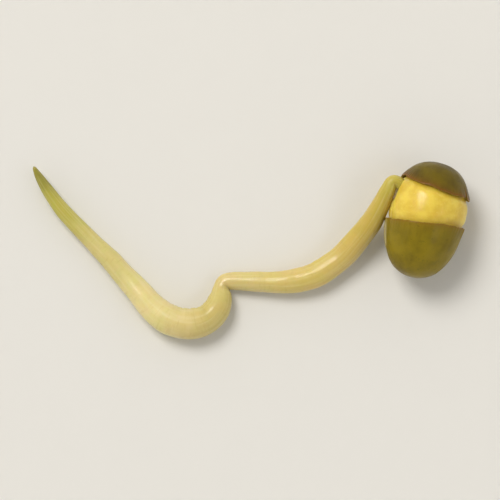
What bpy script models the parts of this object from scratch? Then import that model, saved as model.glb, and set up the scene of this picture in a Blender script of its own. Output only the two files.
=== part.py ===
"""A mung bean sprout lying on its side: two seed leaves in a torn seed coat, with one long white root.

Metres, +Z up. The sprout lies on z = 0 with the middle of its box over the origin. +X runs from the
tip of the root towards the seed, and +Y is near the seed's long axis. In the seed's own frame the long
axis is Y, the belly that the root leaves from faces -X, and the two seed leaves meet on z = 0.
"""

import math

import bmesh
import bpy
from mathutils import Euler, Matrix, Vector

MM = 0.001

# The whole seed, over its coat.
SEED_LENGTH = 6.6 * MM
SEED_WIDTH = 4.55 * MM
SEED_THICKNESS = 4.4 * MM
SEED_TAPER = 0.07  # how much fuller the capped end is than the other
SEED_ROUNDING = 2.3  # 2 is an ellipsoid; more is blunter
BELLY_FLATTENING = 0.06  # the belly is a little flatter than the back

# Where the seed lies. It leans in plan and rolls so that its belly faces a little upwards.
SEED_X = 9.78 * MM
SEED_Y = 1.69 * MM
PRESSED_FLAT = 0.07 * MM  # how far the soft coat flattens under the seed
SEED_LEAN = math.radians(-15)
SEED_ROLL = math.radians(12)

# The coat is torn right round into a cap and a cup, with a bare band of seed leaf between them.
COAT_WALL = 0.15 * MM
COAT_GAP = 0.04 * MM
CAP_RIM = 1.75 * MM  # along the seed from its middle
CAP_RIM_SLOPE = -0.05
CAP_NOTCH = 0.30 * MM  # the tear rises over the root
NOTCH_HALF_ANGLE = math.radians(26)
CUP_RIM = -0.22 * MM
CUP_RIM_SLOPE = 0.13
TEAR_DEPTH = 0.05 * MM

# The seed leaves.
SEAM = 0.05 * MM  # between the two flat faces
SEAM_BEVEL = 0.12 * MM

# The root: x, y and height of its middle, and its radius, in millimetres, from inside the seed to the tip.
ROOT_ROUTE = [
    (8.98, 3.22, 2.32, 0.32),
    (8.44, 3.66, 2.48, 0.34),
    (7.98, 3.81, 2.52, 0.36),
    (7.66, 3.25, 2.42, 0.44),
    (7.27, 2.45, 2.10, 0.54),
    (6.80, 1.61, 1.66, 0.61),
    (6.16, 0.78, 1.22, 0.67),
    (5.10, -0.36, 0.84, 0.69),
    (3.64, -1.35, 0.72, 0.71),
    (1.99, -1.71, 0.66, 0.65),
    (0.22, -1.68, 0.58, 0.57),
    (-0.93, -1.64, 0.53, 0.51),
    (-1.44, -1.74, 0.50, 0.47),
    (-1.62, -2.12, 0.52, 0.48),
    (-1.66, -2.64, 0.66, 0.64),
    (-1.88, -3.26, 0.77, 0.76),
    (-2.44, -3.84, 0.82, 0.82),
    (-3.34, -4.10, 0.87, 0.87),
    (-4.39, -3.91, 0.86, 0.86),
    (-5.41, -3.21, 0.80, 0.80),
    (-6.51, -1.99, 0.69, 0.68),
    (-7.78, -0.54, 0.60, 0.57),
    (-9.04, 0.74, 0.55, 0.49),
    (-10.38, 2.14, 0.56, 0.44),
    (-11.25, 3.24, 0.63, 0.36),
    (-11.85, 4.16, 0.74, 0.24),
    (-12.18, 4.78, 0.84, 0.09),
]
ROOT_STEPS = 3  # pieces of the smooth route between two of its points
ROOT_DEPTH = 0.9 * MM  # nominal radius, which each point's own radius scales
SOCKET_CLEARANCE = 0.03 * MM
NECK_POINTS = 4  # the first points of the route, whose stretch is sunk between the seed leaves

SIDES = 32
RINGS = 22

COAT_COLOUR = (0.20, 0.135, 0.006, 1.0)
CAP_COLOUR = (0.135, 0.088, 0.004, 1.0)
SEED_LEAF_COLOUR = (0.76, 0.56, 0.06, 1.0)
ROOT_COLOUR = (0.72, 0.62, 0.30, 1.0)


def clear_scene():
    for old in list(bpy.data.objects):
        bpy.data.objects.remove(old, do_unlink=True)


def collection(name):
    made = bpy.data.collections.new(name)
    bpy.context.scene.collection.children.link(made)
    return made


def skin(name, colour, roughness):
    material = bpy.data.materials.new(name)
    material.use_nodes = True
    shader = material.node_tree.nodes["Principled BSDF"]
    shader.inputs["Base Color"].default_value = colour
    shader.inputs["Roughness"].default_value = roughness
    shader.inputs["Metallic"].default_value = 0.0
    return material


def add_piece(name, bm, parts, material, parent=None):
    mesh = bpy.data.meshes.new(name)
    bm.to_mesh(mesh)
    bm.free()
    mesh.materials.append(material)
    mesh.shade_smooth()
    mesh.set_sharp_from_angle(angle=math.radians(40))
    piece = bpy.data.objects.new(name, mesh)
    piece.parent = parent
    parts.objects.link(piece)
    return piece


def unit_ball():
    """A unit ball whose poles are on Y, the seed's long axis."""
    bm = bmesh.new()
    bmesh.ops.create_uvsphere(bm, u_segments=SIDES, v_segments=RINGS, radius=1.0)
    bmesh.ops.rotate(bm, verts=bm.verts, matrix=Matrix.Rotation(math.radians(-90), 3, "X"))
    return bm


def seed_point(direction, inset):
    """The seed's surface, moved in by inset, in a direction from its middle."""
    along = max(-1.0, min(1.0, direction.y))
    across = math.sqrt(max(0.0, 1.0 - along * along))
    around = math.atan2(direction.z, direction.x)
    power = 2.0 / SEED_ROUNDING
    y = (SEED_LENGTH / 2 - inset) * math.copysign(abs(along) ** power, along)
    girth = across**power * (1.0 + SEED_TAPER * along)
    belly = 1.0 - BELLY_FLATTENING * max(0.0, -math.cos(around))
    x = (SEED_WIDTH / 2 - inset) * girth * belly * math.cos(around)
    z = (SEED_THICKNESS / 2 - inset) * girth * math.sin(around)
    return Vector((x, y, z))


def shape_as_seed(bm, inset):
    for vert in bm.verts:
        vert.co = seed_point(vert.co.normalized(), inset)


def latitude_at(y):
    """How far round the unit ball, from its middle ring, the seed's surface reaches y."""
    share = max(-1.0, min(1.0, y / (SEED_LENGTH / 2)))
    return math.asin(math.copysign(abs(share) ** (SEED_ROUNDING / 2.0), share))


def tear(around):
    """The uneven line of a tear, by the angle around the seed."""
    return TEAR_DEPTH * (math.sin(3 * around + 0.6) + 0.6 * math.sin(7 * around + 2.1)) / 1.6


def cap_rim(around):
    from_belly = math.pi - abs(around)
    notch = CAP_NOTCH * math.exp(-((from_belly / NOTCH_HALF_ANGLE) ** 2))
    return CAP_RIM + CAP_RIM_SLOPE * SEED_WIDTH / 2 * math.cos(around) + notch + tear(around)


def cup_rim(around):
    return CUP_RIM + CUP_RIM_SLOPE * SEED_WIDTH / 2 * math.cos(around) + tear(around + 1.3)


def coat_piece(rim, pole):
    """One torn part of the coat: the ball is cut at a ring, and its rim is then drawn to the tear."""
    bm = unit_ball()
    level = latitude_at(sum(rim(math.radians(a)) for a in range(-180, 180)) / 360)
    bmesh.ops.bisect_plane(
        bm,
        geom=bm.verts[:] + bm.edges[:] + bm.faces[:],
        plane_co=(0.0, math.sin(level), 0.0),
        plane_no=(0.0, pole, 0.0),
        clear_inner=True,
    )
    for vert in bm.verts:
        direction = vert.co.normalized()
        around = math.atan2(direction.z, direction.x)
        latitude = math.asin(max(-1.0, min(1.0, direction.y)))
        to_pole = (pole * math.pi / 2 - latitude) / (pole * math.pi / 2 - level)
        moved = pole * math.pi / 2 - to_pole * (pole * math.pi / 2 - latitude_at(rim(around)))
        ring = math.cos(moved)
        vert.co = Vector((ring * math.cos(around), math.sin(moved), ring * math.sin(around)))
    shape_as_seed(bm, 0.0)
    return bm


def coat(name, rim, pole, parts, material, seed):
    piece = add_piece(name, coat_piece(rim, pole), parts, material, seed)
    wall = piece.modifiers.new("wall", "SOLIDIFY")
    wall.thickness = COAT_WALL
    wall.offset = -1.0
    wall.use_even_offset = True
    return piece


def seed_leaf(name, side, parts, material, seed):
    """Half of the seed inside its coat, on one side of the seam, with its flat face's edge rounded."""
    bm = unit_ball()
    shape_as_seed(bm, COAT_WALL + COAT_GAP)
    cut = bmesh.ops.bisect_plane(
        bm,
        geom=bm.verts[:] + bm.edges[:] + bm.faces[:],
        plane_co=(0.0, 0.0, side * SEAM / 2),
        plane_no=(0.0, 0.0, side),
        clear_inner=True,
    )
    edges = [item for item in cut["geom_cut"] if isinstance(item, bmesh.types.BMEdge)]
    bmesh.ops.contextual_create(bm, geom=edges)
    rim = [edge for edge in bm.edges if all(abs(v.co.z - side * SEAM / 2) < 1e-7 for v in edge.verts)]
    bmesh.ops.bevel(bm, geom=rim, offset=SEAM_BEVEL, segments=2, profile=0.5, affect="EDGES")
    bmesh.ops.recalc_face_normals(bm, faces=bm.faces[:])
    return add_piece(name, bm, parts, material, seed)


def smooth_route(points, steps):
    """Points on a Catmull-Rom curve through the given ones, with the radius carried along."""
    route = [Vector(point) for point in points]
    ends = [2 * route[0] - route[1]] + route + [2 * route[-1] - route[-2]]
    made = []
    for a, b, c, d in zip(ends, ends[1:], ends[2:], ends[3:]):
        for step in range(steps):
            t = step / steps
            made.append(
                0.5 * (2 * b + (c - a) * t + (2 * a - 5 * b + 4 * c - d) * t**2
                       + (3 * b - a - 3 * c + d) * t**3)
            )
    made.append(route[-1])
    return made


def root_tube(name, points, extra, parts):
    """A round tube through the route's points, each with its own radius plus extra."""
    curve = bpy.data.curves.new(name, "CURVE")
    curve.dimensions = "3D"
    curve.bevel_depth = ROOT_DEPTH
    curve.bevel_resolution = 3
    curve.use_fill_caps = True
    spline = curve.splines.new("POLY")
    spline.points.add(len(points) - 1)
    for knot, (x, y, z, radius) in zip(spline.points, points):
        knot.co = (x * MM, y * MM, z * MM, 1.0)
        knot.radius = (radius * MM + extra) / ROOT_DEPTH
    piece = bpy.data.objects.new(name, curve)
    parts.objects.link(piece)
    return piece


def as_mesh(piece, parts):
    """The same shape as a mesh with its end caps welded on, so that it can cut."""
    depsgraph = bpy.context.evaluated_depsgraph_get()
    mesh = bpy.data.meshes.new_from_object(piece.evaluated_get(depsgraph))
    bm = bmesh.new()
    bm.from_mesh(mesh)
    bmesh.ops.remove_doubles(bm, verts=bm.verts, dist=1e-6)
    bmesh.ops.recalc_face_normals(bm, faces=bm.faces[:])
    bm.to_mesh(mesh)
    bm.free()
    made = bpy.data.objects.new(piece.name, mesh)
    made.matrix_world = piece.matrix_world
    parts.objects.link(made)
    bpy.data.objects.remove(piece, do_unlink=True)
    return made


def as_cutter(piece):
    piece.hide_render = True
    piece.display_type = "WIRE"


def cut(piece, cutter):
    hole = piece.modifiers.new("socket", "BOOLEAN")
    hole.operation = "DIFFERENCE"
    hole.solver = "EXACT"
    hole.object = cutter


def press_flat(piece):
    """Flattens a soft piece where it lies, so that nothing of it is below z = 0."""
    depsgraph = bpy.context.evaluated_depsgraph_get()
    mesh = bpy.data.meshes.new_from_object(piece.evaluated_get(depsgraph))
    placed = piece.matrix_world.copy()
    back = placed.inverted()
    for vert in mesh.vertices:
        place = placed @ vert.co
        place.z = max(place.z, 0.0)
        vert.co = back @ place
    piece.modifiers.clear()
    piece.data = mesh


def main():
    clear_scene()
    sprout = collection("mung_bean_sprout")
    cutters = collection("cutters")

    height = SEED_THICKNESS / 2 - PRESSED_FLAT
    seed = bpy.data.objects.new("seed", None)
    seed.location = (SEED_X, SEED_Y, height)
    seed.rotation_euler = Euler((0.0, SEED_ROLL, SEED_LEAN), "XYZ")
    sprout.objects.link(seed)
    bpy.context.view_layer.update()

    cap_skin = skin("coat_brown", CAP_COLOUR, 0.4)
    cup_skin = skin("coat_olive", COAT_COLOUR, 0.4)
    leaf_flesh = skin("seed_leaf_yellow", SEED_LEAF_COLOUR, 0.45)
    root_flesh = skin("root_white", ROOT_COLOUR, 0.4)

    coat("seed_coat_cap", cap_rim, 1, sprout, cap_skin, seed)
    cup = coat("seed_coat_cup", cup_rim, -1, sprout, cup_skin, seed)
    leaves = [
        seed_leaf("cotyledon_upper", 1, sprout, leaf_flesh, seed),
        seed_leaf("cotyledon_lower", -1, sprout, leaf_flesh, seed),
    ]

    route = smooth_route(ROOT_ROUTE, ROOT_STEPS)
    root = root_tube("white_root", route, 0.0, sprout)
    root.data.materials.append(root_flesh)
    neck = route[: NECK_POINTS * ROOT_STEPS]
    socket = as_mesh(root_tube("socket", neck, SOCKET_CLEARANCE, cutters), cutters)
    as_cutter(socket)
    for leaf in leaves:
        cut(leaf, socket)
    bpy.context.view_layer.update()
    press_flat(cup)


main()
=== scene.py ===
import math

import bmesh
import bpy
import numpy as np
from mathutils import Euler, Matrix, Vector, noise


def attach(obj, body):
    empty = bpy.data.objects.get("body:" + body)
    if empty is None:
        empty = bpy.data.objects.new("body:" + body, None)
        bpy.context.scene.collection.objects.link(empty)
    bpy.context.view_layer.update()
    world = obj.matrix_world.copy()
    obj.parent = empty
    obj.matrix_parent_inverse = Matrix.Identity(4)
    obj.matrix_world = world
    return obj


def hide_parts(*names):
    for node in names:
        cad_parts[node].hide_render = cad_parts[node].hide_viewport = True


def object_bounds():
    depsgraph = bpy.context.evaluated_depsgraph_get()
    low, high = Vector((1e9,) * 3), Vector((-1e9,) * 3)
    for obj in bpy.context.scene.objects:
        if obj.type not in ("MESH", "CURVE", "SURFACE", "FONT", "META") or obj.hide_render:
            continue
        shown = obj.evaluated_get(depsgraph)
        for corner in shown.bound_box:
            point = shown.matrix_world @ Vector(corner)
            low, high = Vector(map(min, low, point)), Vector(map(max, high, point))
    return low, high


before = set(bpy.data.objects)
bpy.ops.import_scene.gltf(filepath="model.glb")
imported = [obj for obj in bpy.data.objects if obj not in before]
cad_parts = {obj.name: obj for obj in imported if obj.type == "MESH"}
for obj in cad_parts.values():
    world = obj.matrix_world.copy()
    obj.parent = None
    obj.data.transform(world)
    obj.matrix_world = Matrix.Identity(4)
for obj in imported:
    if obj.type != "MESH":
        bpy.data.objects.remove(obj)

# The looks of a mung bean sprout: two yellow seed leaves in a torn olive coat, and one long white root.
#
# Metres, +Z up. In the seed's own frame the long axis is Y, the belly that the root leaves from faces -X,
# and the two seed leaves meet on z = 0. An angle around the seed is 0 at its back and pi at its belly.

CAD_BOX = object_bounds()
MM = 0.001

# ---------------------------------------------------------------- the seed's size and place, as in the CAD
SEED_LENGTH = 6.6 * MM
SEED_WIDTH = 4.55 * MM
SEED_THICKNESS = 4.4 * MM
SEED_TAPER = 0.07
SEED_ROUNDING = 2.3
BELLY_FLATTENING = 0.06
PRESSED_FLAT = 0.07 * MM
SEED_PLACE = Vector((9.78 * MM, 1.69 * MM, SEED_THICKNESS / 2 - PRESSED_FLAT))
SEED_TURN = Euler((0.0, math.radians(12), math.radians(-15)), "XYZ")
SEED_POSE = Matrix.Translation(SEED_PLACE) @ SEED_TURN.to_matrix().to_4x4()

# The coat's two torn rims, by how far along the seed they lie from its middle.
CAP_RIM = 1.75 * MM
CAP_RIM_SLOPE = -0.05
CAP_NOTCH = 0.30 * MM
NOTCH_HALF_ANGLE = math.radians(26)
CUP_RIM = -0.22 * MM
CUP_RIM_SLOPE = 0.13
TEAR_DEPTH = 0.05 * MM
COAT_INSET = 0.19 * MM  # from the outside of the coat to the seed leaves

# The root: x, y and height of its middle, and its radius, in millimetres, from inside the seed to the tip.
ROOT_ROUTE = [
    (8.98, 3.22, 2.32, 0.32),
    (8.44, 3.66, 2.48, 0.34),
    (7.98, 3.81, 2.52, 0.36),
    (7.66, 3.25, 2.42, 0.44),
    (7.27, 2.45, 2.10, 0.54),
    (6.80, 1.61, 1.66, 0.61),
    (6.16, 0.78, 1.22, 0.67),
    (5.10, -0.36, 0.84, 0.69),
    (3.64, -1.35, 0.72, 0.71),
    (1.99, -1.71, 0.66, 0.65),
    (0.22, -1.68, 0.58, 0.57),
    (-0.93, -1.64, 0.53, 0.51),
    (-1.44, -1.74, 0.50, 0.47),
    (-1.62, -2.12, 0.52, 0.48),
    (-1.66, -2.64, 0.66, 0.64),
    (-1.88, -3.26, 0.77, 0.76),
    (-2.44, -3.84, 0.82, 0.82),
    (-3.34, -4.10, 0.87, 0.87),
    (-4.39, -3.91, 0.86, 0.86),
    (-5.41, -3.21, 0.80, 0.80),
    (-6.51, -1.99, 0.69, 0.68),
    (-7.78, -0.54, 0.60, 0.57),
    (-9.04, 0.74, 0.55, 0.49),
    (-10.38, 2.14, 0.56, 0.44),
    (-11.25, 3.24, 0.63, 0.36),
    (-11.85, 4.16, 0.74, 0.24),
    (-12.18, 4.78, 0.84, 0.09),
]
ROUTE_STEPS = 12
NECK_STEPS = 3 * ROUTE_STEPS  # the stretch of the route that the seed leaves part around
ROOT_GIRTH = 0.7 * MM  # a middling radius, which turns an angle around the root into a length
TIP_ROUNDING = 0.14 * MM
BEND_GAIN = 1.3  # how soon the inside of a bend starts to wrinkle


# ---------------------------------------------------------------- shapes

def soft_noise(points, size, number):
    """Smooth random relief from -1 to 1 over an array of points, with features of about that size."""
    shift = Vector((17.3, 5.1, 9.7)) * number
    flat = points.reshape(-1, 3)
    values = [noise.noise(Vector(point) / size + shift) for point in flat]
    return np.array(values).reshape(points.shape[:-1])


def smooth_step(value, low, high):
    share = np.clip((value - low) / (high - low), 0.0, 1.0)
    return share * share * (3 - 2 * share)


def seed_surface(around, latitude, inset):
    """The seed's surface, moved in by inset, at angles around it and at latitudes from its middle."""
    power = 2.0 / SEED_ROUNDING
    along = np.sin(latitude)
    girth = np.clip(np.cos(latitude), 0.0, 1.0) ** power * (1.0 + SEED_TAPER * along)
    belly = 1.0 - BELLY_FLATTENING * np.clip(-np.cos(around), 0.0, 1.0)
    x = (SEED_WIDTH / 2 - inset) * girth * belly * np.cos(around)
    y = (SEED_LENGTH / 2 - inset) * np.sign(along) * np.abs(along) ** power + 0.0 * around
    z = (SEED_THICKNESS / 2 - inset) * girth * np.sin(around)
    return np.stack([x, y, z], axis=-1)


def latitude_at(y):
    share = np.clip(y / (SEED_LENGTH / 2), -1.0, 1.0)
    return np.arcsin(np.sign(share) * np.abs(share) ** (SEED_ROUNDING / 2.0))


def tear(around):
    return TEAR_DEPTH * (np.sin(3 * around + 0.6) + 0.6 * np.sin(7 * around + 2.1)) / 1.6


def cap_rim(around):
    from_belly = np.pi - np.abs(around)
    notch = CAP_NOTCH * np.exp(-((from_belly / NOTCH_HALF_ANGLE) ** 2))
    return CAP_RIM + CAP_RIM_SLOPE * SEED_WIDTH / 2 * np.cos(around) + notch + tear(around)


def cup_rim(around):
    return CUP_RIM + CUP_RIM_SLOPE * SEED_WIDTH / 2 * np.cos(around) + tear(around + 1.3)


def ragged(around, number):
    """The fine, fibrous unevenness of a torn edge, on top of the tear's own line."""
    circle = np.stack([np.cos(around), np.sin(around), 0.0 * around], axis=-1)
    coarse = 0.045 * MM * soft_noise(circle, 0.22, number)
    return coarse + 0.022 * MM * soft_noise(circle, 0.07, number + 1)


def splits(around, places):
    """Narrow splits that run into the coat from its rim: an angle, a depth and a half width for each."""
    depth = 0.0 * around
    for angle, deep, wide in places:
        away = np.abs((around - angle + np.pi) % (2 * np.pi) - np.pi)
        depth = depth + deep * np.exp(-((away / wide) ** 1.5))
    return depth


def row_normals(rows):
    """Outward normals of a closed tube of rows, worked out from their neighbours."""
    across = np.roll(rows, -1, axis=1) - np.roll(rows, 1, axis=1)
    normals = np.cross(across, np.gradient(rows, axis=0))
    normals /= np.linalg.norm(normals, axis=-1, keepdims=True) + 1e-12
    outwards = (normals * (rows - rows.mean(axis=(0, 1)))).sum(axis=-1).mean()
    return normals if outwards > 0 else -normals


def closed_skin(name, rows, first, last, marks, pose):
    """A mesh from rows of points that run round a piece, closed by a point at either end.

    marks holds arrays with a value for each point of the rows, which become attributes of the mesh."""
    count, size = rows.shape[:2]
    points = np.concatenate([[first], rows.reshape(-1, 3), [last]])
    index = 1 + np.arange(count * size).reshape(count, size)
    after = np.roll(index, -1, axis=1)
    quads = np.stack([index[:-1], after[:-1], after[1:], index[1:]], axis=-1).reshape(-1, 4)
    tips = [(0, b, a) for a, b in zip(index[0], after[0])]
    tips += [(len(points) - 1, a, b) for a, b in zip(index[-1], after[-1])]
    mesh = bpy.data.meshes.new(name)
    mesh.from_pydata(points.tolist(), [], quads.tolist() + [tuple(map(int, tip)) for tip in tips])
    for mark, values in marks.items():
        ends = np.concatenate([values[:1].mean(axis=1), values.reshape(-1, *values.shape[2:]),
                               values[-1:].mean(axis=1)])
        kind = "FLOAT_VECTOR" if values.ndim == 3 else "FLOAT"
        field = "vector" if values.ndim == 3 else "value"
        mesh.attributes.new(mark, kind, "POINT").data.foreach_set(field, ends.ravel())
    mesh.transform(pose)
    mesh.update()
    triangles = points[np.array([[q[0], q[1], q[2]] for q in quads])]
    volumes = np.einsum("ij,ij->i", triangles[:, 0], np.cross(triangles[:, 1], triangles[:, 2]))
    if volumes.sum() < 0:
        mesh.flip_normals()
    mesh.shade_smooth()
    return mesh


def place(name, mesh, material, node, slot):
    piece = bpy.data.objects.new(name, mesh)
    bpy.context.scene.collection.objects.link(piece)
    mesh.materials.clear()
    mesh.materials.append(material)
    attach(piece, "root")
    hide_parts(node)
    return piece


def rest_on_floor(mesh, lowest):
    """A soft piece flattens where it lies."""
    for vert in mesh.vertices:
        vert.co.z = max(vert.co.z, lowest)


# ---------------------------------------------------------------- the coat

COAT_COLUMNS = 360
COAT_ROWS = 84
COAT_SKIN = 0.11 * MM
RIM_THINNING = 0.45  # the share of its thickness that the coat loses at its rim
RIM_ROUNDING = 5
INNER_ROW_STEP = 4  # the inside, which hardly shows, keeps one row in so many
CURL_REACH = 0.34 * MM
CAP_CURL = 0.06 * MM
CUP_CURL = 0.07 * MM
DENT_DEPTH = 0.040 * MM
PIT_DEPTH = 0.010 * MM
PLEATS = 58
PLEAT_DEPTH = 0.010 * MM

SCAR_MIDDLE = -1.30 * MM
SCAR_HALF_LENGTH = 0.72 * MM
SCAR_HALF_WIDTH = 0.25 * MM
SLIT_HALF_WIDTH = 0.045 * MM
LINE_HALF_WIDTH = 0.07 * MM


def hilum_marks(points):
    """The scar where the bean sat on its pod: an oval, its raised edge, its slit and the line below it."""
    on_belly = points[..., 0] < 0
    along = points[..., 1] - SCAR_MIDDLE
    across = points[..., 2]
    oval = np.sqrt((along / SCAR_HALF_LENGTH) ** 2 + (across / SCAR_HALF_WIDTH) ** 2)
    scar = on_belly * (1 - smooth_step(oval, 0.78, 0.98))
    edge = on_belly * np.exp(-(((oval - 1.0) / 0.17) ** 2))
    slit_end = 1 - smooth_step(np.abs(along), 0.4 * MM, 0.62 * MM)
    slit = on_belly * np.exp(-((across / SLIT_HALF_WIDTH) ** 2)) * slit_end
    line_start = smooth_step(-along, SCAR_HALF_LENGTH, 1.3 * SCAR_HALF_LENGTH)
    line = on_belly * np.exp(-((across / LINE_HALF_WIDTH) ** 2)) * line_start
    return scar, edge, slit, line


def coat_shell(name, pole, rim, number, places, flare):
    """One torn part of the coat, from its pole to its rim, with its wall, its curled edge and its dents."""
    around = np.linspace(-np.pi, np.pi, COAT_COLUMNS, endpoint=False)
    torn = rim(around) + ragged(around, number) + pole * splits(around, places)
    edge = latitude_at(torn)
    share = (np.arange(1, COAT_ROWS + 1) / COAT_ROWS)[:, None] ** 0.85
    latitude = pole * np.pi / 2 - (pole * np.pi / 2 - edge)[None, :] * share
    base = seed_surface(around[None, :], latitude, 0.0)
    steps = np.linalg.norm(np.diff(base, axis=0), axis=-1)
    to_rim = np.concatenate([np.cumsum(steps[::-1], axis=0)[::-1], np.zeros((1, COAT_COLUMNS))])
    normals = row_normals(base)

    dents = DENT_DEPTH * soft_noise(base, 1.5 * MM, number + 2)
    dents = dents + PIT_DEPTH * soft_noise(base, 0.45 * MM, number + 3)
    circle = np.stack([np.cos(around), np.sin(around), 0.0 * around], axis=-1)
    curl = flare * (0.55 + 0.75 * soft_noise(circle, 0.55, number + 4))[None, :]
    curl = curl * np.exp(-((to_rim / CURL_REACH) ** 2))
    pleats = np.sin(PLEATS * around + 5 * soft_noise(circle, 0.3, number + 5))[None, :]
    pleats = PLEAT_DEPTH * pleats * np.exp(-to_rim / (0.30 * MM)) * smooth_step(to_rim, 0.0, 0.05 * MM)
    scar, lip, slit, line = (mark * (pole < 0) for mark in hilum_marks(base))
    scar_relief = 0.050 * MM * lip - 0.012 * MM * scar - 0.030 * MM * slit - 0.010 * MM * line
    outer = base + normals * (dents + curl + pleats + scar_relief)[..., None]

    wall = COAT_SKIN * (1 - RIM_THINNING * np.exp(-to_rim / (0.35 * MM)))
    inner = outer - normals * wall[..., None]
    towards = outer[-1] - outer[-2]
    towards /= np.linalg.norm(towards, axis=-1, keepdims=True)
    turns = np.pi * np.arange(1, RIM_ROUNDING) / RIM_ROUNDING
    half = wall[-1][:, None] / 2
    rounded = []
    for angle in turns:
        inwards = normals[-1] * half * (1 - math.cos(angle))
        rounded.append(outer[-1] - inwards + towards * half * math.sin(angle))
    back = inner[::-INNER_ROW_STEP]
    rows = np.concatenate([outer, rounded, back])

    def marked(values, rim_value):
        at_rim = np.repeat(rim_value[None], len(turns), axis=0)
        return np.concatenate([values, at_rim, values[::-INNER_ROW_STEP]])

    over_rim = np.repeat(turns[:, None] / np.pi, COAT_COLUMNS, axis=1)
    inside = np.concatenate([0 * to_rim, over_rim, 0 * to_rim[::-INNER_ROW_STEP] + 1])
    marks = {
        "seed_place": rows,
        "to_rim": marked(to_rim, 0 * to_rim[-1]),
        "scar": marked(scar + 0.0, scar[-1]),
        "slit": marked(np.maximum(slit, 0.6 * line), slit[-1]),
        "lip": marked(lip + 0.0, lip[-1]),
        "inside": inside,
    }
    tip = np.array([0.0, outer[0, :, 1].mean(), 0.0])
    inner_tip = np.array([0.0, back[-1, :, 1].mean(), 0.0])
    mesh = closed_skin(name, rows, tip, inner_tip, marks, SEED_POSE)
    rest_on_floor(mesh, 0.0)
    return mesh


# ---------------------------------------------------------------- the seed leaves

LEAF_ROWS = 120
ARC_POINTS = 150
FLAT_POINTS = 60
SEAM = 0.06 * MM
SEAM_SOFTENING = 9  # how many times the corners along the seam are smoothed
POLE_LIFT = 0.05 * MM
LIP_REACH = 0.22 * MM
BAND_SWELL = 0.11 * MM  # the bare band stands a little proud of the flesh under the coat


def seed_leaf(name, side, neck):
    """Half of the seed inside its coat, round on one side, flat on the other, parted round the neck."""
    latitude = np.linspace(-np.pi / 2, np.pi / 2, LEAF_ROWS + 2)[1:-1, None]
    arc = side * np.linspace(0.0, np.pi, ARC_POINTS)[None, :]
    round_side = seed_surface(arc, latitude, COAT_INSET)
    deepest = np.abs(round_side[..., 2]).max(axis=1, keepdims=True)
    seam = np.minimum(SEAM / 2, 0.25 * deepest)
    round_side[..., 2] = side * (seam + np.abs(round_side[..., 2]) * (deepest - seam) / deepest)
    across = np.linspace(0.0, 1.0, FLAT_POINTS + 2)[None, 1:-1, None]
    flat_side = round_side[:, -1:] * (1 - across) + round_side[:, :1] * across
    rows = np.concatenate([round_side, flat_side], axis=1)
    for _ in range(SEAM_SOFTENING):
        rows = (np.roll(rows, 1, axis=1) + 2 * rows + np.roll(rows, -1, axis=1)) / 4
    normals = row_normals(rows)
    around = np.arctan2(rows[..., 2], rows[..., 0])
    from_coat = np.minimum(cap_rim(around) - rows[..., 1], rows[..., 1] - cup_rim(around))
    outside = smooth_step(np.abs(rows[..., 2]), 0.0, 0.4 * MM)
    swell = BAND_SWELL * smooth_step(from_coat, 0.0, 0.5 * MM) * outside
    rows = rows + normals * swell[..., None]
    relief = 0.030 * MM * soft_noise(rows, 1.7 * MM, 31)
    relief = relief + 0.007 * MM * soft_noise(rows, 0.35 * MM, 32 + side)
    rows = rows + normals * relief[..., None]
    to_cap = np.abs(rows[..., 1] - cap_rim(around))
    to_coat = np.minimum(to_cap, np.abs(rows[..., 1] - cup_rim(around)))
    marks = {"seed_place": rows, "to_coat": to_coat, "to_seam": np.abs(rows[..., 2])}
    ends = [np.array([0.0, row[:, 1].mean(), side * POLE_LIFT]) for row in (rows[0], rows[-1])]
    mesh = closed_skin(name, rows, *ends, marks, SEED_POSE)
    part_round(mesh, neck)
    return mesh


def part_round(mesh, neck):
    """Pushes the flesh aside along the neck, so that it closes round the root with a soft lip."""
    centres = np.array([point[:3] for point in neck])
    radii = np.array([point[3] for point in neck])
    for vert in mesh.vertices:
        away = np.array(vert.co) - centres
        gaps = np.linalg.norm(away, axis=1) - radii
        nearest = int(gaps.argmin())
        gap = gaps[nearest]
        if gap < LIP_REACH:
            distance = gap + radii[nearest]
            reach = radii[nearest] + LIP_REACH
            snug = 0.96 * radii[nearest]
            moved = snug + (reach - snug) * (distance / reach) ** 1.6
            vert.co = Vector(centres[nearest] + away[nearest] * (moved / max(distance, 1e-9)))


# ---------------------------------------------------------------- the root

def smooth_route(points, steps):
    """Points on a Catmull-Rom curve through the given ones, with the radius carried along, in metres."""
    route = [Vector(point) * MM for point in points]
    ends = [2 * route[0] - route[1]] + route + [2 * route[-1] - route[-2]]
    made = []
    for a, b, c, d in zip(ends, ends[1:], ends[2:], ends[3:]):
        for step in range(steps):
            t = step / steps
            line, bend, twist = c - a, 2 * a - 5 * b + 4 * c - d, 3 * b - a - 3 * c + d
            made.append(0.5 * (2 * b + line * t + bend * t**2 + twist * t**3))
    made.append(route[-1])
    return np.array(made)


def root_guide(route):
    """A line of edges along the root, with its radius and its curvature at each point."""
    places, radii = route[:, :3], route[:, 3].copy()
    lengths = np.concatenate([[0.0], np.cumsum(np.linalg.norm(np.diff(places, axis=0), axis=1))])
    to_tip = lengths[-1] - lengths
    into_tip = np.clip(1 - to_tip / TIP_ROUNDING, 0.0, 1.0)
    radii *= np.sqrt(np.clip(1 - into_tip**2, 0.004, 1.0))
    heading = np.gradient(places, lengths, axis=0)
    heading /= np.linalg.norm(heading, axis=1, keepdims=True)
    bend = np.gradient(heading, lengths, axis=0) * radii[:, None]
    mesh = bpy.data.meshes.new("root_guide")
    mesh.from_pydata(places.tolist(), [(i, i + 1) for i in range(len(places) - 1)], [])
    mesh.attributes.new("thickness", "FLOAT", "POINT").data.foreach_set("value", radii)
    mesh.attributes.new("bend", "FLOAT_VECTOR", "POINT").data.foreach_set("vector", bend.ravel())
    guide = bpy.data.objects.new("white_root_skin", mesh)
    bpy.context.scene.collection.objects.link(guide)
    return guide


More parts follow.
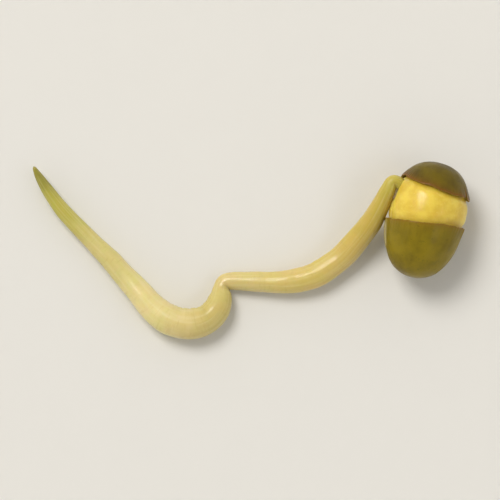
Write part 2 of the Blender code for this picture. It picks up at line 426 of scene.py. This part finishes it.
def add(tree, kind, inputs=None, **settings):
    """A node with its settings, and with each input linked to a socket or set to a value."""
    made = tree.nodes.new(kind)
    for name, value in settings.items():
        setattr(made, name, value)
    for key, value in (inputs or {}).items():
        if isinstance(value, bpy.types.NodeSocket):
            tree.links.new(value, made.inputs[key])
        else:
            made.inputs[key].default_value = value
    return made


def calc(tree, operation, a, b=0.0, c=0.0):
    """A sum on plain numbers, as one node."""
    return add(tree, "ShaderNodeMath", {0: a, 1: b, 2: c}, operation=operation).outputs[0]


def turn(tree, operation, a, b=(0.0, 0.0, 0.0), scale=1.0):
    """A sum on vectors, as one node, whose fourth input is the scale and second output a number."""
    node = add(tree, "ShaderNodeVectorMath", {0: a, 1: b, 3: scale}, operation=operation)
    return node.outputs[1 if operation in ("DOT_PRODUCT", "LENGTH") else 0]


def interface(tree, inputs, outputs):
    """Makes a tree's named inputs and outputs, and returns the sockets to wire them to."""
    for name, (kind, value) in inputs.items():
        socket = tree.interface.new_socket(name=name, in_out="INPUT", socket_type=kind)
        if value is not None:
            socket.default_value = value
    for name, kind in outputs.items():
        tree.interface.new_socket(name=name, in_out="OUTPUT", socket_type=kind)
    return tree.nodes.new("NodeGroupInput").outputs, tree.nodes.new("NodeGroupOutput").inputs


def relief_noise(tree, place, stretch, size, detail, depth):
    """Height of a noise pattern in the root's unrolled space, centred on zero."""
    stretched = turn(tree, "MULTIPLY", place, stretch)
    pattern = add(tree, "ShaderNodeTexNoise", {"Vector": stretched, "Scale": 1 / size, "Detail": detail,
                                               "Roughness": 0.55})
    return calc(tree, "MULTIPLY", calc(tree, "SUBTRACT", pattern.outputs["Fac"], 0.5), depth)


def root_tree():
    """Sweeps a ring along the guide, then raises flutes, lumps, rings and the wrinkles inside its bends."""
    tree = bpy.data.node_groups.new("grow root along guide", "GeometryNodeTree")
    given, result = interface(
        tree,
        {
            "Guide": ("NodeSocketGeometry", None),
            "Sides": ("NodeSocketInt", 56),
            "Step": ("NodeSocketFloat", 0.075 * MM),
            "Girth": ("NodeSocketFloat", ROOT_GIRTH),
            "Flute depth": ("NodeSocketFloat", 0.050 * MM),
            "Lump depth": ("NodeSocketFloat", 0.16 * MM),
            "Ring depth": ("NodeSocketFloat", 0.018 * MM),
            "Wrinkle depth": ("NodeSocketFloat", 0.22 * MM),
            "Floor": ("NodeSocketFloat", 0.002 * MM),
            "Skin": ("NodeSocketMaterial", None),
        },
        {"Root": "NodeSocketGeometry"},
    )

    def named(kind, name):
        node = add(tree, "GeometryNodeInputNamedAttribute", {"Name": name}, data_type=kind)
        return node.outputs["Attribute"]

    def stored(geometry, kind, name, value):
        return add(tree, "GeometryNodeStoreNamedAttribute",
                   {"Geometry": geometry, "Name": name, "Value": value},
                   data_type=kind, domain="POINT").outputs[0]

    curve = add(tree, "GeometryNodeMeshToCurve", {"Mesh": given["Guide"]}).outputs[0]
    even = {"Curve": curve, "Length": given["Step"]}
    curve = add(tree, "GeometryNodeResampleCurve", even, mode="LENGTH").outputs[0]
    spline = add(tree, "GeometryNodeSplineParameter").outputs
    curve = stored(curve, "FLOAT", "along", spline["Length"])
    circle = {"Resolution": given["Sides"], "Radius": 1.0}
    ring = add(tree, "GeometryNodeCurvePrimitiveCircle", circle).outputs["Curve"]
    ring = stored(ring, "FLOAT", "share", spline["Factor"])
    tube = add(tree, "GeometryNodeCurveToMesh", {
        "Curve": curve,
        "Profile Curve": ring,
        "Scale": named("FLOAT", "thickness"),
        "Fill Caps": True,
    })
    angle = calc(tree, "MULTIPLY", named("FLOAT", "share"), 2 * math.pi)
    unrolled = add(tree, "ShaderNodeCombineXYZ", {
        "X": calc(tree, "MULTIPLY", calc(tree, "COSINE", angle), given["Girth"]),
        "Y": calc(tree, "MULTIPLY", calc(tree, "SINE", angle), given["Girth"]),
        "Z": named("FLOAT", "along"),
    }).outputs[0]
    mesh = stored(tube.outputs[0], "FLOAT_VECTOR", "unrolled", unrolled)

    place = named("FLOAT_VECTOR", "unrolled")
    normal = add(tree, "GeometryNodeInputNormal").outputs[0]
    inner = calc(tree, "MAXIMUM", turn(tree, "DOT_PRODUCT", normal, named("FLOAT_VECTOR", "bend")), 0.0)
    inner = calc(tree, "MINIMUM", calc(tree, "MULTIPLY", inner, BEND_GAIN), 1.0)
    mesh = stored(mesh, "FLOAT", "inner_bend", inner)
    slender = calc(tree, "DIVIDE", named("FLOAT", "thickness"), ROOT_GIRTH)
    flutes = relief_noise(tree, place, (1.0, 1.0, 0.10), 0.34 * MM, 2.0, given["Flute depth"])
    lumps = relief_noise(tree, place, (0.6, 0.6, 1.0), 1.7 * MM, 1.0, given["Lump depth"])
    rings = relief_noise(tree, place, (0.16, 0.16, 1.0), 0.16 * MM, 2.0, given["Ring depth"])
    folds = relief_noise(tree, place, (0.22, 0.22, 1.0), 0.24 * MM, 1.0, given["Wrinkle depth"])
    height = calc(tree, "ADD", calc(tree, "ADD", flutes, lumps), rings)
    height = calc(tree, "MULTIPLY_ADD", folds, named("FLOAT", "inner_bend"), height)
    height = calc(tree, "MULTIPLY", height, slender)
    raised = turn(tree, "SCALE", normal, scale=height)
    mesh = add(tree, "GeometryNodeSetPosition", {"Geometry": mesh, "Offset": raised}).outputs[0]
    position = add(tree, "GeometryNodeInputPosition").outputs[0]
    position = add(tree, "ShaderNodeSeparateXYZ", {0: position}).outputs
    lying = add(tree, "ShaderNodeCombineXYZ", {
        "X": position["X"], "Y": position["Y"], "Z": calc(tree, "MAXIMUM", position["Z"], given["Floor"]),
    })
    pressed = {"Geometry": mesh, "Position": lying.outputs[0]}
    mesh = add(tree, "GeometryNodeSetPosition", pressed).outputs[0]
    mesh = add(tree, "GeometryNodeSetShadeSmooth", {"Geometry": mesh, "Shade Smooth": True}).outputs[0]
    mesh = add(tree, "GeometryNodeRealizeInstances", {"Geometry": mesh}).outputs[0]
    mesh = add(tree, "GeometryNodeSetMaterial", {"Geometry": mesh, "Material": given["Skin"]}).outputs[0]
    tree.links.new(mesh, result["Root"])
    return tree


def grown(guide, tree, values):
    """Runs the tree on the guide and keeps the result as a plain mesh."""
    modifier = guide.modifiers.new("grow", "NODES")
    modifier.node_group = tree
    for item in tree.interface.items_tree:
        if item.item_type == "SOCKET" and item.name in values:
            modifier[item.identifier] = values[item.name]
    depsgraph = bpy.context.evaluated_depsgraph_get()
    mesh = bpy.data.meshes.new_from_object(guide.evaluated_get(depsgraph))
    bpy.data.objects.remove(guide, do_unlink=True)
    return mesh


# ---------------------------------------------------------------- finishes shared by the pieces

def shader_group(name, inputs, outputs):
    tree = bpy.data.node_groups.new(name, "ShaderNodeTree")
    given, result = interface(tree, inputs, outputs)
    return tree, given, result


def blend(tree, share, a, b, mode="MIX"):
    node = add(tree, "ShaderNodeMix", {0: share, 6: a, 7: b}, data_type="RGBA", blend_type=mode)
    return node.outputs[2]


def ramp(tree, value, low, high):
    return add(tree, "ShaderNodeMapRange", {"Value": value, 1: low, 2: high, 3: 0.0, 4: 1.0},
               interpolation_type="SMOOTHSTEP").outputs[0]


def colour_band(tree, value, stops):
    """A colour that changes smoothly through the given stops as value goes from 0 to 1."""
    node = add(tree, "ShaderNodeValToRGB", {"Fac": value})
    node.color_ramp.interpolation = "EASE"
    elements = node.color_ramp.elements
    while len(elements) < len(stops):
        elements.new(0.5)
    for element, (position, colour) in zip(elements, stops):
        element.position = position
        element.color = colour
    return node.outputs["Color"]


def patches(tree, place, size, detail=3.0, rough=0.55):
    scale = calc(tree, "DIVIDE", 1.0, size)
    return add(tree, "ShaderNodeTexNoise", {"Vector": place, "Scale": scale, "Detail": detail,
                                            "Roughness": rough}).outputs["Fac"]


def mottle_group():
    """Cloudy patches of two colours, with finer freckles of a third."""
    tree, given, result = shader_group(
        "living tissue mottle",
        {
            "Place": ("NodeSocketVector", None),
            "Patch size": ("NodeSocketFloat", 1.2 * MM),
            "Freckle size": ("NodeSocketFloat", 0.18 * MM),
            "Freckles": ("NodeSocketFloat", 0.3),
            "Low": ("NodeSocketColor", None),
            "High": ("NodeSocketColor", None),
            "Freckle": ("NodeSocketColor", None),
        },
        {"Colour": "NodeSocketColor"},
    )
    share = ramp(tree, patches(tree, given["Place"], given["Patch size"]), 0.34, 0.66)
    ground = blend(tree, share, given["Low"], given["High"])
    dots = ramp(tree, patches(tree, given["Place"], given["Freckle size"], 2.0), 0.56, 0.74)
    tree.links.new(blend(tree, calc(tree, "MULTIPLY", dots, given["Freckles"]), ground, given["Freckle"]),
                   result["Colour"])
    return tree


def moist_group():
    """How wet the skin is: damp patches are glossier than the dry ones between them."""
    tree, given, result = shader_group(
        "moist film",
        {
            "Place": ("NodeSocketVector", None),
            "Patch size": ("NodeSocketFloat", 0.9 * MM),
            "Dry": ("NodeSocketFloat", 0.5),
            "Damp": ("NodeSocketFloat", 0.25),
        },
        {"Roughness": "NodeSocketFloat"},
    )
    wet = ramp(tree, patches(tree, given["Place"], given["Patch size"], 4.0), 0.38, 0.62)
    spread = calc(tree, "SUBTRACT", given["Damp"], given["Dry"])
    tree.links.new(calc(tree, "MULTIPLY_ADD", wet, spread, given["Dry"]), result["Roughness"])
    return tree


def grain_group():
    """Fine ridges that run along a piece, broken up by cells, as a height from 0 to 1."""
    tree, given, result = shader_group(
        "skin grain",
        {
            "Place": ("NodeSocketVector", None),
            "Stretch": ("NodeSocketVector", (1.0, 0.2, 1.0)),
            "Ridge size": ("NodeSocketFloat", 0.09 * MM),
            "Cell size": ("NodeSocketFloat", 0.05 * MM),
            "Cells": ("NodeSocketFloat", 0.35),
        },
        {"Height": "NodeSocketFloat"},
    )
    stretched = turn(tree, "MULTIPLY", given["Place"], given["Stretch"])
    ridges = patches(tree, stretched, given["Ridge size"], 4.0, 0.6)
    scale = calc(tree, "DIVIDE", 1.0, given["Cell size"])
    cells = add(tree, "ShaderNodeTexVoronoi", {"Vector": given["Place"], "Scale": scale}).outputs["Distance"]
    tree.links.new(calc(tree, "MULTIPLY_ADD", cells, given["Cells"], ridges), result["Height"])
    return tree


FADE_BASE = 2.718  # the edge colour falls to about a third over its reach


# Mostly real stains, but beside the coat's rims on the seed leaves this edge colour is partly painted contact
# shade.
def edge_stain_and_shade_group():
    """A colour that creeps in from an edge, unevenly, over a stated reach."""
    tree, given, result = shader_group(
        "edge stain and painted shade",
        {
            "Colour": ("NodeSocketColor", None),
            "Edge colour": ("NodeSocketColor", None),
            "Distance": ("NodeSocketFloat", 0.0),
            "Reach": ("NodeSocketFloat", 0.2 * MM),
            "Strength": ("NodeSocketFloat", 0.7),
            "Place": ("NodeSocketVector", None),
        },
        {"Colour": "NodeSocketColor"},
    )
    uneven = calc(tree, "MULTIPLY_ADD", patches(tree, given["Place"], 0.35 * MM), 1.6, 0.2)
    reach = calc(tree, "MULTIPLY", given["Reach"], uneven)
    reaches = calc(tree, "DIVIDE", given["Distance"], reach)
    fade = calc(tree, "POWER", FADE_BASE, calc(tree, "MULTIPLY", reaches, -1.0))
    share = calc(tree, "MULTIPLY", fade, given["Strength"])
    tree.links.new(blend(tree, share, given["Colour"], given["Edge colour"]), result["Colour"])
    return tree


GROUPS = {"mottle": mottle_group(), "moist": moist_group(), "grain": grain_group(), "stain": edge_stain_and_shade_group()}


def use(tree, name, inputs):
    """One of the shared effects, placed in a material with its own values."""
    node = tree.nodes.new("ShaderNodeGroup")
    node.node_tree = GROUPS[name]
    for key, value in inputs.items():
        if isinstance(value, bpy.types.NodeSocket):
            tree.links.new(value, node.inputs[key])
        else:
            node.inputs[key].default_value = value
    return node.outputs


def mark(tree, name, output="Fac"):
    return add(tree, "ShaderNodeAttribute", attribute_name=name).outputs[output]


def living_skin(name, place, **shader_values):
    """A material whose pattern lies on the named attribute, with the shader's own fixed values set."""
    material = bpy.data.materials.new(name)
    material.use_nodes = True
    tree = material.node_tree
    shader = tree.nodes["Principled BSDF"]
    for key, value in shader_values.items():
        shader.inputs[key.replace("_", " ")].default_value = value
    return material, tree, shader.inputs, mark(tree, place, "Vector")


def bump(tree, height, strength, distance, normal=None):
    inputs = {"Height": height, "Strength": strength, "Distance": distance}
    if normal is not None:
        inputs["Normal"] = normal
    return add(tree, "ShaderNodeBump", inputs).outputs[0]


def rgb(red, green, blue):
    return (red, green, blue, 1.0)


def coat_skin(name, low, high, freckle, rim_colour):
    """Waxy, slightly moist coat, browner along the torn rim, with a pale scar and a dark slit."""
    material, tree, shader, place = living_skin(
        name, "seed_place", Subsurface_Weight=0.18, Subsurface_Radius=(1.0, 0.7, 0.2),
        Subsurface_Scale=0.25 * MM, Coat_Weight=0.16, Coat_Roughness=0.14, Specular_IOR_Level=0.16)
    colour = use(tree, "mottle", {"Place": place, "Patch size": 1.3 * MM, "Freckle size": 0.16 * MM,
                                  "Freckles": 0.45, "Low": low, "High": high, "Freckle": freckle})["Colour"]
    streaks = turn(tree, "MULTIPLY", place, (1.0, 0.12, 1.0))
    streak = ramp(tree, patches(tree, streaks, 0.22 * MM, 4.0), 0.40, 0.66)
    colour = blend(tree, calc(tree, "MULTIPLY", streak, 0.30), colour, high)
    colour = use(tree, "stain", {"Colour": colour, "Edge colour": rim_colour, "Distance": mark(tree, "to_rim"),
                                 "Reach": 0.16 * MM, "Strength": 0.85, "Place": place})["Colour"]
    colour = blend(tree, mark(tree, "lip"), colour, rgb(0.30, 0.24, 0.07))
    colour = blend(tree, mark(tree, "scar"), colour, rgb(0.48, 0.42, 0.22))
    colour = blend(tree, mark(tree, "slit"), colour, rgb(0.10, 0.07, 0.02))
    colour = blend(tree, mark(tree, "inside"), colour, rgb(0.40, 0.32, 0.09))
    tree.links.new(colour, shader["Base Color"])
    moist = use(tree, "moist", {"Place": place, "Patch size": 0.8 * MM, "Dry": 0.56, "Damp": 0.36})
    tree.links.new(moist["Roughness"], shader["Roughness"])
    grain = use(tree, "grain", {"Place": place, "Stretch": (1.0, 0.22, 1.0), "Ridge size": 0.10 * MM,
                                "Cell size": 0.06 * MM, "Cells": 0.25})
    tree.links.new(bump(tree, grain["Height"], 0.55, 0.020 * MM), shader["Normal"])
    return material


def leaf_flesh(name):
    """Firm yellow flesh that glows a little, paler along the seam, and darker brown beside the coat's rims,
    partly a stain and partly painted contact shade.
    """
    material, tree, shader, place = living_skin(
        name, "seed_place", Subsurface_Weight=0.55, Subsurface_Radius=(1.0, 0.72, 0.22),
        Subsurface_Scale=0.55 * MM, Coat_Weight=0.32, Coat_Roughness=0.16, Specular_IOR_Level=0.36)
    colour = use(tree, "mottle", {"Place": place, "Patch size": 1.0 * MM, "Freckle size": 0.12 * MM,
                                  "Freckles": 0.30, "Low": rgb(0.72, 0.50, 0.045),
                                  "High": rgb(0.86, 0.66, 0.09), "Freckle": rgb(0.90, 0.76, 0.22)})["Colour"]
    colour = use(tree, "stain", {"Colour": colour, "Edge colour": rgb(0.86, 0.78, 0.34), "Place": place,
                                 "Distance": mark(tree, "to_seam"), "Reach": 0.14 * MM,
                                 "Strength": 0.45})["Colour"]
    # Darker brown beside the coat's rims: partly a stain, partly painted contact shade where the coat's edge
    # meets the flesh.
    colour = use(tree, "stain", {"Colour": colour, "Edge colour": rgb(0.36, 0.20, 0.02), "Place": place,
                                 "Distance": mark(tree, "to_coat"), "Reach": 0.10 * MM,
                                 "Strength": 0.60})["Colour"]
    tree.links.new(colour, shader["Base Color"])
    moist = use(tree, "moist", {"Place": place, "Patch size": 0.7 * MM, "Dry": 0.50, "Damp": 0.30})
    tree.links.new(moist["Roughness"], shader["Roughness"])
    grain = use(tree, "grain", {"Place": place, "Stretch": (1.0, 0.8, 1.0), "Ridge size": 0.12 * MM,
                                "Cell size": 0.07 * MM, "Cells": 0.5})
    tree.links.new(bump(tree, grain["Height"], 0.45, 0.014 * MM), shader["Normal"])
    return material


def root_flesh(name, length):
    """Cream and watery, tanned near the seed, palest round its loop, and clearer and greener to its tip."""
    material, tree, shader, place = living_skin(
        name, "unrolled", Subsurface_Weight=0.55, Subsurface_Radius=(1.0, 0.80, 0.38),
        Subsurface_Scale=0.55 * MM, Coat_Weight=0.30, Coat_Roughness=0.12, Specular_IOR_Level=0.32)
    along = add(tree, "ShaderNodeSeparateXYZ", {0: place}).outputs["Z"]
    wander = calc(tree, "SUBTRACT", patches(tree, place, 1.4 * MM), 0.5)
    share = calc(tree, "DIVIDE", calc(tree, "MULTIPLY_ADD", wander, 3.0 * MM, along), length)
    colour = colour_band(tree, share, [
        (0.02, rgb(0.54, 0.46, 0.07)),
        (0.12, rgb(0.60, 0.46, 0.09)),
        (0.28, rgb(0.69, 0.55, 0.17)),
        (0.44, rgb(0.70, 0.59, 0.25)),
        (0.52, rgb(0.64, 0.54, 0.19)),
        (0.64, rgb(0.81, 0.72, 0.35)),
        (0.80, rgb(0.67, 0.60, 0.24)),
        (0.91, rgb(0.50, 0.47, 0.08)),
        (0.99, rgb(0.26, 0.24, 0.02)),
    ])
    tint = use(tree, "mottle", {"Place": place, "Patch size": 1.1 * MM, "Freckle size": 0.16 * MM,
                                "Freckles": 0.35, "Low": rgb(0.95, 0.965, 0.84), "High": rgb(1.0, 0.95, 0.95),
                                "Freckle": rgb(0.93, 0.84, 0.70)})["Colour"]
    colour = blend(tree, 1.0, colour, tint, "MULTIPLY")
    fibres = turn(tree, "MULTIPLY", place, (1.0, 1.0, 0.05))
    fibre = ramp(tree, patches(tree, fibres, 0.15 * MM, 3.0), 0.44, 0.70)
    colour = blend(tree, calc(tree, "MULTIPLY", fibre, 0.16), colour, rgb(0.92, 0.86, 0.58))
    rings = turn(tree, "MULTIPLY", place, (0.2, 0.2, 1.0))
    ring = ramp(tree, patches(tree, rings, 0.13 * MM, 2.0), 0.52, 0.72)
    ring_tan_and_crease_shade = rgb(0.50, 0.36, 0.10)
    colour = blend(tree, calc(tree, "MULTIPLY", ring, 0.18), colour, ring_tan_and_crease_shade)
    # Painted shade: the inside of each bend is darkened towards this tan, standing in for the shade in its
    # creases; the rings above are the root's own colour.
    colour = blend(tree, calc(tree, "MULTIPLY", mark(tree, "inner_bend"), 0.40), colour, ring_tan_and_crease_shade)
    tree.links.new(colour, shader["Base Color"])
    moist = use(tree, "moist", {"Place": place, "Patch size": 1.1 * MM, "Dry": 0.50, "Damp": 0.28})
    tree.links.new(moist["Roughness"], shader["Roughness"])
    grain = use(tree, "grain", {"Place": place, "Stretch": (1.0, 1.0, 0.12), "Ridge size": 0.08 * MM,
                                "Cell size": 0.06 * MM, "Cells": 0.15})
    tree.links.new(bump(tree, grain["Height"], 0.5, 0.014 * MM), shader["Normal"])
    return material


# ---------------------------------------------------------------- the pieces

def grow_sprout():
    route = smooth_route(ROOT_ROUTE, ROUTE_STEPS)
    cap_skin = coat_skin("brown coat", rgb(0.080, 0.054, 0.001), rgb(0.150, 0.106, 0.001),
                         rgb(0.05, 0.034, 0.001), rgb(0.20, 0.070, 0.004))
    cup_skin = coat_skin("olive coat", rgb(0.19, 0.137, 0.003), rgb(0.27, 0.20, 0.006),
                         rgb(0.10, 0.085, 0.003), rgb(0.23, 0.125, 0.006))
    cap_splits = [(math.radians(38), 0.42 * MM, 0.045), (math.radians(-74), 0.25 * MM, 0.03)]
    cup_splits = [(math.radians(-132), 0.55 * MM, 0.035), (math.radians(24), 0.30 * MM, 0.03)]
    cap = coat_shell("coat_cap", 1, cap_rim, 1, cap_splits, CAP_CURL)
    place("coat_cap", cap, cap_skin, "seed_coat_cap", "coat_cap")
    cup = coat_shell("coat_cup", -1, cup_rim, 11, cup_splits, CUP_CURL)
    place("coat_cup", cup, cup_skin, "seed_coat_cup", "coat_cup")
    flesh = leaf_flesh("yellow seed leaf")
    for name, side, node in (("leaf_upper", 1, "cotyledon_upper"), ("leaf_lower", -1, "cotyledon_lower")):
        place(name, seed_leaf(name, side, route[:NECK_STEPS]), flesh, node, "seed_leaf")
    length = float(np.linalg.norm(np.diff(route[:, :3], axis=0), axis=1).sum())
    skin = root_flesh("white root", length)
    mesh = grown(root_guide(route), root_tree(), {"Skin": skin})
    place("root_skin", mesh, skin, "white_root", "root")


# ---------------------------------------------------------------- floor, light and camera

FLOOR_FLAT = 0.35
FLOOR_BEND = 0.25
BACKDROP_HEIGHT = 0.30
FLOOR_GAP = 0.002 * MM
CAMERA_DISTANCE = 0.24
CAMERA_TILT = math.radians(3)
PICTURE_MARGIN = 1.14
FILM_WIDTH = 36

def plain_finish(name, colour, roughness):
    material = bpy.data.materials.new(name)
    material.use_nodes = True
    shader = material.node_tree.nodes["Principled BSDF"]
    shader.inputs["Base Color"].default_value = colour
    shader.inputs["Roughness"].default_value = roughness
    return material


def lay_floor():
    """A pale floor that sweeps up all round into a plain backdrop."""
    profile = [(0.0, 0.0), (0.08, 0.0)]
    for turned in range(0, 91, 6):
        angle = math.radians(turned)
        profile.append((FLOOR_FLAT + FLOOR_BEND * math.sin(angle), FLOOR_BEND * (1 - math.cos(angle))))
    profile.append((FLOOR_FLAT + FLOOR_BEND, FLOOR_BEND + BACKDROP_HEIGHT))
    bm = bmesh.new()
    points = [bm.verts.new((reach, 0.0, rise - FLOOR_GAP)) for reach, rise in profile]
    edges = [bm.edges.new(pair) for pair in zip(points, points[1:])]
    bmesh.ops.spin(bm, geom=points + edges, cent=(0, 0, 0), axis=(0, 0, 1), angle=2 * math.pi, steps=96)
    bmesh.ops.remove_doubles(bm, verts=bm.verts, dist=0.01 * MM)
    bmesh.ops.recalc_face_normals(bm, faces=bm.faces)
    mesh = bpy.data.meshes.new("floor")
    bm.to_mesh(mesh)
    bm.free()
    mesh.shade_smooth()
    mesh.materials.append(plain_finish("pale floor", rgb(0.80, 0.79, 0.76), 0.8))
    floor = bpy.data.objects.new("floor", mesh)
    bpy.context.scene.collection.objects.link(floor)


def hang_light(name, place, aim, size, power, colour):
    data = bpy.data.lights.new(name, "AREA")
    data.shape = "DISK"
    data.size = size
    data.energy = power
    data.color = colour
    light = bpy.data.objects.new(name, data)
    light.location = place
    light.rotation_euler = (Vector(aim) - Vector(place)).to_track_quat("-Z", "Y").to_euler()
    bpy.context.scene.collection.objects.link(light)


def light_studio():
    world = bpy.data.worlds.new("studio")
    world.use_nodes = True
    world.node_tree.nodes["Background"].inputs["Color"].default_value = rgb(1.0, 0.98, 0.95)
    world.node_tree.nodes["Background"].inputs["Strength"].default_value = 0.26
    bpy.context.scene.world = world
    hang_light("key", (-0.33, 0.42, 0.80), (0, 0, 0), 0.46, 5.5, (1.0, 0.97, 0.92))
    hang_light("fill", (0.62, -0.22, 0.62), (0, 0, 0), 0.60, 1.4, (0.96, 0.97, 1.0))


def set_camera():
    low, high = CAD_BOX
    middle = (low + high) / 2
    data = bpy.data.cameras.new("camera")
    data.sensor_width = FILM_WIDTH
    data.lens = FILM_WIDTH * CAMERA_DISTANCE / ((high.x - low.x) * PICTURE_MARGIN)
    data.clip_start = 0.01
    data.clip_end = 10
    camera = bpy.data.objects.new("camera", data)
    away = Vector((0, -math.sin(CAMERA_TILT), math.cos(CAMERA_TILT)))
    camera.location = middle + away * CAMERA_DISTANCE
    camera.rotation_euler = (CAMERA_TILT, 0, 0)
    bpy.context.scene.collection.objects.link(camera)
    bpy.context.scene.camera = camera


grow_sprout()
lay_floor()
light_studio()
set_camera()
bpy.context.scene.view_settings.view_transform = "Standard"
